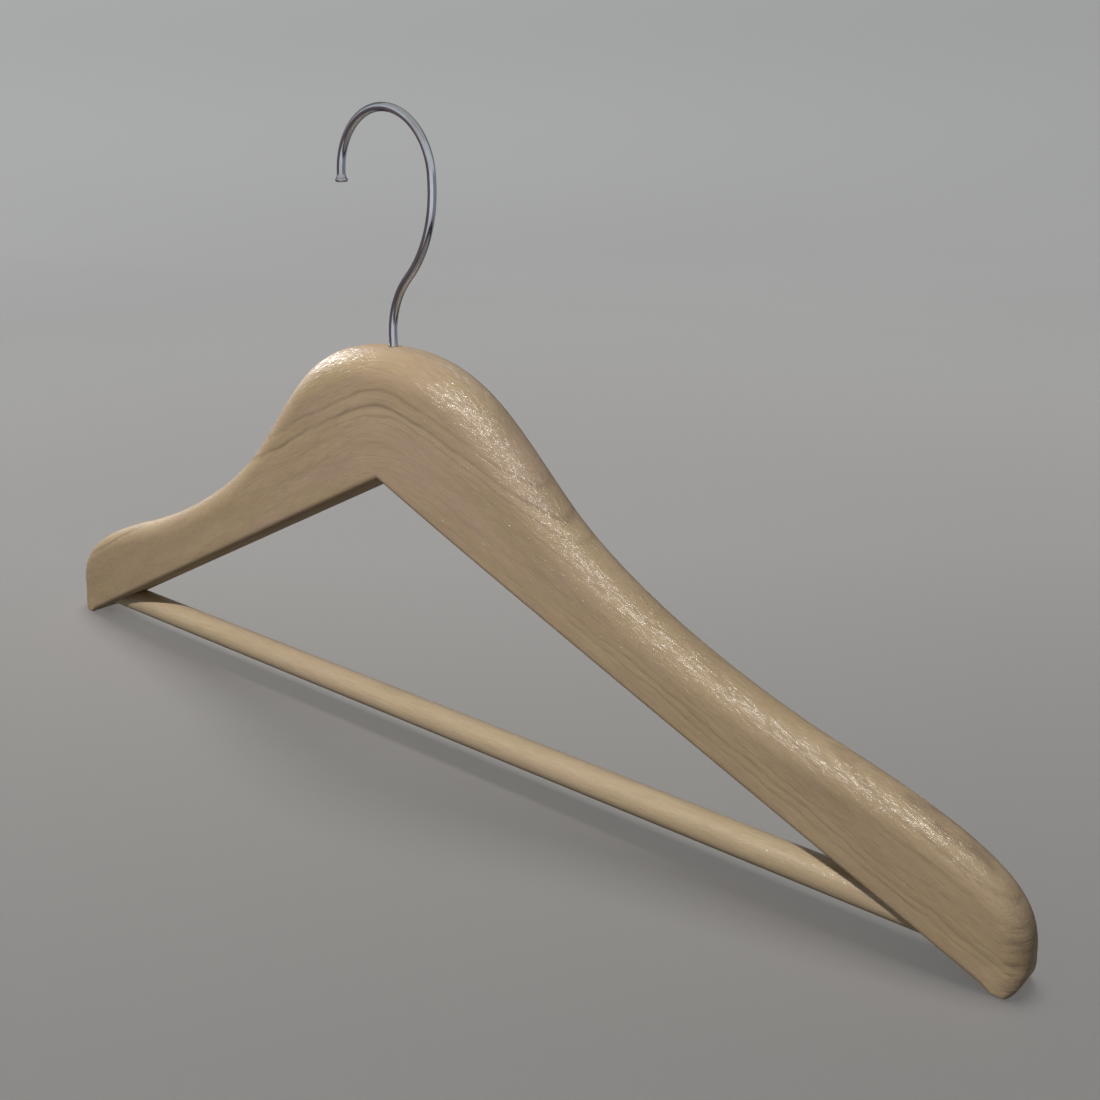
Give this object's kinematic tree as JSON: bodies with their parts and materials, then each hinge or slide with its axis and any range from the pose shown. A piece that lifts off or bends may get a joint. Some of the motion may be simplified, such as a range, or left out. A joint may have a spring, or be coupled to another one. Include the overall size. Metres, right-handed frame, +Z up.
{
  "type": "clothes hanger",
  "caption": "Contoured wooden clothes hanger with a round trouser bar and a chromed wire hook that swivels in the neck to hang on a closet rail.",
  "frame": {"origin": "rail seat: the highest point of the inside of the hook's bow, on the vertical swivel axis", "axes": "+Z up along the swivel axis; +X along the hanger's width towards the right arm as seen from the front; +Y backwards, the way the arms sweep"},
  "size_m": [0.445, 0.0275, 0.2221],
  "materials": {
    "body_wood": "pale hardwood with fine grain along the arms, satin clear lacquer",
    "bar_wood": "pale turned hardwood, satin clear lacquer",
    "hook_chrome": "bright chrome plated steel wire",
    "bush_brass": "turned brass",
    "swivel_steel": "zinc plated steel",
    "brad_steel": "bright drawn steel"
  },
  "bodies": {
    "swivel_hook": {"hook": "hook_chrome", "retaining_cap": "swivel_steel"},
    "hanger_frame": {"hanger_body": "body_wood", "trouser_bar": "bar_wood", "swivel_bush": "bush_brass", "thrust_washer": "swivel_steel", "left_bar_brad": "brad_steel", "right_bar_brad": "brad_steel"}
  },
  "joints": [
    {"name": "hook_swivel", "type": "hinge", "parent": "swivel_hook", "child": "hanger_frame", "pos_m": [0, 0, 0], "axis": [0, 0, 1], "continuous": true}
  ]
}
